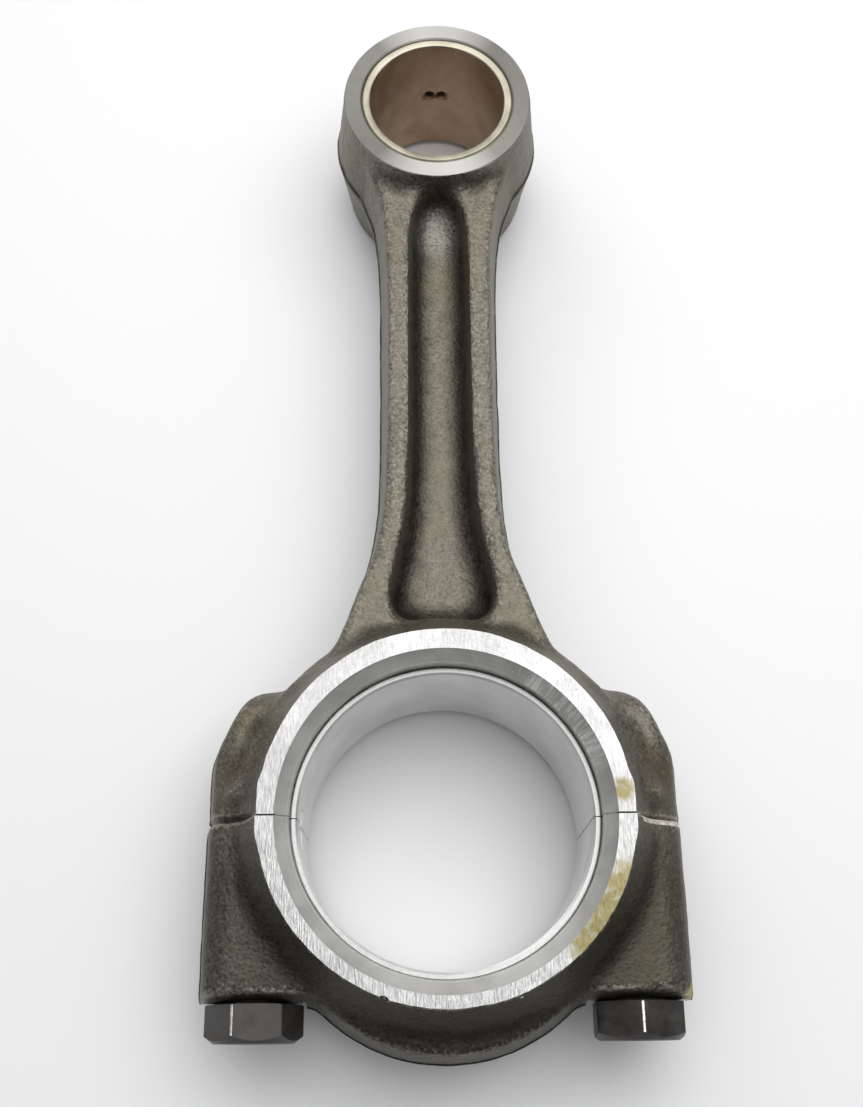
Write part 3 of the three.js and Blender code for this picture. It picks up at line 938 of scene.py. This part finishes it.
def bearingShell(name, side):
    outer, inner, half = shell["outer"], shell["outer"] - shell["wall"], shell["halfWidth"]
    upper = [(outer, half - shell["outerEdge"]), (outer - shell["outerEdge"], half),
             (inner + shell["innerEdge"], half), (inner, half - shell["innerEdgeDrop"])]
    section = upper + [(r, -z) for r, z in reversed(upper)]
    bm = bmesh.new()
    bm.faces.new([bm.verts.new((r, 0, z)) for r, z in section])
    bmesh.ops.spin(bm, geom=bm.faces[:] + bm.edges[:] + bm.verts[:], cent=(0, 0, 0), axis=(0, 0, 1),
                   angle=math.pi * side, steps=120, use_merge=False, use_duplicate=False)
    bmesh.ops.remove_doubles(bm, verts=bm.verts, dist=0.0005)
    bmesh.ops.recalc_face_normals(bm, faces=bm.faces)
    for vert in bm.verts:    # crush relief, where the lining thins towards the joint
        near = 1 - abs(vert.co.y) / shell["reliefHeight"]
        if near > 0 and vert.co.xy.length < inner + 0.2:
            vert.co.xy *= 1 + near * shell["reliefDepth"] / inner
    piece = asObject(name, bm)
    # the tang, and the dent in the lining where it was pressed out
    low, high = tangBox(side)
    addOn(piece, block(low, high))
    wall = shell["tangWall"]
    cutAway(piece, block((-inner - shell["tangDent"], low.y - 1, low.z + wall),
                         (-inner + 4, high.y - 0.6, high.z - wall)))
    ends = sorted((shell["jointGap"] * side, -beyond * side))
    cutAway(piece, block((-beyond, ends[0], -above), (beyond, ends[1], above)))
    dress(piece, ["lining", "shellEdge"],
          lambda centre, normal: "shellEdge" if abs(centre.z) > half - 0.05 else "lining")
    return piece


print("bearing shells")
settle(bearingShell("upperShell", 1), "rod", "bearing_metal", "upper_bearing_shell")
settle(bearingShell("lowerShell", -1), "cap", "bearing_metal", "lower_bearing_shell")

# Small-end bush
bush = {"inner": 18.05, "outer": 20.33, "halfWidth": (bushHigh.z - bushLow.z) * 500,
        "outerEdge": 0.45, "innerEdge": 0.7, "innerEdgeDrop": 0.5, "boreRings": (2, 4, 7, 11, 15),
        "oilMouth": 2.4, "oilEnd": 24}


def pinBush():
    inner, outer, half = bush["inner"], bush["outer"], bush["halfWidth"]
    upper = [(inner, height) for height in bush["boreRings"]]
    upper += [(inner, half - bush["innerEdgeDrop"]), (inner + 0.2, half - 0.2),
              (inner + bush["innerEdge"], half), (outer - bush["outerEdge"], half),
              (outer, half - bush["outerEdge"])]
    section = upper + [(r, -z) for r, z in reversed(upper)]
    centre = (0, rodPlan["centreDistance"], 0)
    piece = asObject("pinBush", spun(section + section[:1], 144, centre))
    # each oil hole has a countersink in the bore
    axisY, hole, wide = rodPlan["centreDistance"], machining["oilRadius"], bush["oilMouth"]
    start, end = axisY + machining["oilFrom"], axisY + bush["oilEnd"]
    for x in (-machining["oilSpacing"] / 2, machining["oilSpacing"] / 2):
        mouth = [(0, start), (wide, start), (wide, axisY + inner - 0.5),
                 (hole, axisY + inner + 0.5), (hole, end), (0, end)]
        cutAway(piece, spun(mouth, 32, (x, 0, 0), alongY))
    dress(piece, ["bushBore", "bushEnd"],
          lambda centre, normal: "bushEnd" if abs(centre.z) > half - 0.55 else "bushBore")
    return piece


print("bush")
settle(pinBush(), "rod", "bush_bronze", "small_end_bush")

# Cap bolts
bolt = {
    "acrossFlats": 19.0, "headDepth": 8.0, "cornerWear": 0.32,
    "endRadius": 8.8, "endSlope": 0.75, "endDish": 0.5, "endDishRadius": 6.4,
    "washerRadius": 8.9, "washerGap": 0.22,
    "shank": 5.93, "threadFrom": 2.0, "threadRoot": 5.2, "pitch": 1.25, "stepsPerTurn": 36,
    "toothFlanks": (0.42, 0.54, 0.96), "tipChamfer": 1.1, "underHead": 0.9,
    "turn": {-1: 39.5, 1: -2.6}, "rubbedCorner": {-1: -20.5, 1: -2.6},    # degrees from straight up
}


def threadRidge(low, high):
    # one tooth, wound up from low to high
    root, crest, pitch = bolt["threadRoot"] - 0.15, bolt["shank"], bolt["pitch"]
    rise, fall, end = (low + pitch * share for share in bolt["toothFlanks"])
    bm = bmesh.new()
    tooth = [(root, low), (crest, rise), (crest, fall), (root, end)]
    bm.faces.new([bm.verts.new((r, 0, z)) for r, z in tooth])
    turns, perTurn = int((high - low) / pitch), bolt["stepsPerTurn"]
    bmesh.ops.spin(bm, geom=bm.faces[:] + bm.edges[:] + bm.verts[:], cent=(0, 0, 0), axis=(0, 0, 1),
                   dvec=(0, 0, pitch / perTurn), angle=math.tau * turns, steps=perTurn * turns,
                   use_merge=False, use_duplicate=False)
    bmesh.ops.recalc_face_normals(bm, faces=bm.faces)
    return bm


def capBolt(name, node, side):
    low, high = rodBox(node)
    seat, tip = low.y + bolt["headDepth"], high.y
    corner = bolt["acrossFlats"] / math.sqrt(3)
    turn = math.radians(bolt["turn"][side] - 90)
    corners = [(corner * math.cos(turn + k * math.pi / 3), corner * math.sin(turn + k * math.pi / 3))
               for k in range(6)]
    head = prism(corners, low.y, seat)
    upright = [e for e in head.edges if abs(e.verts[0].co.z - e.verts[1].co.z) > 1]
    bmesh.ops.bevel(head, geom=upright, offset=bolt["cornerWear"], offset_type="OFFSET",
                    affect="EDGES", segments=2, profile=0.5, material=-1)
    piece = asObject(name, head)
    past = corner + 1    # clear of the head's corners
    rise = (past - bolt["endRadius"]) * bolt["endSlope"]
    keepWithin(piece, spun([(0, low.y), (bolt["endRadius"], low.y), (past, low.y + rise),
                            (past, seat - 0.6), (corner - 0.5, seat), (0, seat)], 96))
    dish, wide = bolt["endDish"], bolt["endDishRadius"]
    cutAway(piece, spun([(0, low.y - 1), (wide, low.y - 1), (wide, low.y),
                         (wide - 1.2, low.y + dish * 0.7), (0, low.y + dish)], 64))
    top, washer = seat + bolt["washerGap"], bolt["washerRadius"]
    shank, start, root = bolt["shank"], bolt["threadFrom"], bolt["threadRoot"]
    addOn(piece, spun([(0, seat - 1), (washer, seat - 1), (washer, top - 0.15), (washer - 0.15, top),
                       (shank + bolt["underHead"], top), (shank, top + bolt["underHead"]),
                       (shank, start), (root, start + 0.8), (root, tip - 0.4), (root - 0.8, tip),
                       (0, tip)], 64))
    thread = asObject("thread", threadRidge(start - 0.9, tip + 0.6))
    chamfer = bolt["tipChamfer"]
    keepWithin(thread, spun([(0, start - 2), (shank, start - 2), (shank, tip - chamfer),
                             (shank - chamfer, tip), (0, tip)], 96))
    addOn(piece, asBmesh(thread))
    bpy.data.objects.remove(thread)
    rubbed = math.radians(bolt["rubbedCorner"][side] - 90)
    rubbedEdge = Vector((corner * math.cos(rubbed), corner * math.sin(rubbed)))

    def boltFinish(centre, normal):
        near = (centre.xy - rubbedEdge).length < bolt["cornerWear"]
        return "wornEdge" if near and abs(normal.z) < 0.3 and centre.z < seat else "black"

    dress(piece, ["black", "wornEdge"], boltFinish)
    piece.data.transform(Matrix.Translation(((low.x + high.x) / 2, 0, (low.z + high.z) / 2)) @ alongY)
    return piece


print("bolts")
settle(capBolt("leftBolt", "cap_bolt_left", -1), "bolt_left", "blackened_steel", "cap_bolt_left")
settle(capBolt("rightBolt", "cap_bolt_right", 1), "bolt_right", "blackened_steel", "cap_bolt_right")

# Dowels
dowel = {"chamfer": 0.6, "crown": 0.25, "crownEdge": 0.45}


def locatingPin(name, node):
    low, high = rodBox(node)
    middle, radius = (low + high) / 2, (high.x - low.x) / 2
    edge, crown, length = dowel["chamfer"], dowel["crown"], (high.y - low.y) / 2
    rim = radius - edge * dowel["crownEdge"]
    upper = [(radius, length - edge), (rim, length - crown), (0, length)]
    profile = [(0, -length), (rim, -length + crown), (radius, -length + edge), *upper]
    piece = asObject(name, spun(profile, 48, middle, alongY))
    dress(piece, ["pinSteel"], lambda centre, normal: "pinSteel")
    return piece


print("dowels")
settle(locatingPin("leftDowel", "dowel_left"), "cap", "pin_steel", "dowel_left")
settle(locatingPin("rightDowel", "dowel_right"), "cap", "pin_steel", "dowel_right")

# Camera, floor and light
studio = {
    "cameraPlace": (-0.0073485, -0.1349148, 0.3313247), "cameraTurn": (21.061, -0.7265, -0.5165),
    "lens": 43.146,
    "floorSize": 4.0, "floorDepth": 0.02, "floorGap": 0.00005, "floorColour": (0.86, 0.86, 0.865),
    "overhead": {"place": (0.13, 0.15, 0.6), "size": 0.6, "power": 2.6},
    "key": {"place": (-0.24, 0.42, 0.42), "size": 0.3, "power": 0.5},
    "dim": (0.06, 0.06, 0.061), "wall": (0.62, 0.62, 0.63), "bright": (0.80, 0.80, 0.81),
}
print("studio")
camera = bpy.data.objects.new("camera", bpy.data.cameras.new("camera"))
camera.location = studio["cameraPlace"]
camera.rotation_euler = [math.radians(turn) for turn in studio["cameraTurn"]]
camera.data.lens = studio["lens"]
camera.data.clip_start = 0.01
bpy.context.scene.collection.objects.link(camera)
bpy.context.scene.camera = camera

half, floorTop = studio["floorSize"] / 2, cadBox[0][2] - studio["floorGap"]
floor = asObject("floor", block((-half, -half, -studio["floorDepth"]), (half, half, floorTop)))
floorMaterial, floorTree, floorSkin = newFinish("paleTable", 0.0, 0.55)
floorSkin.inputs["Base Color"].default_value = (*studio["floorColour"], 1)
floor.data.materials.append(floorMaterial)

for name in ("overhead", "key"):
    plan = studio[name]
    light = bpy.data.lights.new(name, "AREA")
    light.energy = plan["power"]
    light.size = plan["size"]
    lamp = bpy.data.objects.new(name, light)
    lamp.location = plan["place"]
    lamp.rotation_euler = (-lamp.location).to_track_quat("-Z", "Y").to_euler()
    bpy.context.scene.collection.objects.link(lamp)

world = bpy.data.worlds.new("room")
world.use_nodes = True
sky = world.node_tree
aim = splitOf(sky, addNode(sky, "TexCoord", {}).outputs["Generated"])
height = plus(sky, times(sky, aim[1], 0.35), times(sky, aim[2], 0.8))
tone = mixed(sky, between(sky, height, -0.05, 0.85), studio["dim"], studio["bright"])
# metal reflects a room that is dim low down and bright above, but the camera sees a pale wall
seen = addNode(sky, "LightPath", {}).outputs["Is Camera Ray"]
sky.links.new(mixed(sky, seen, tone, studio["wall"]), sky.nodes["Background"].inputs["Color"])
bpy.context.scene.world = world
bpy.context.scene.view_settings.view_transform = "Standard"
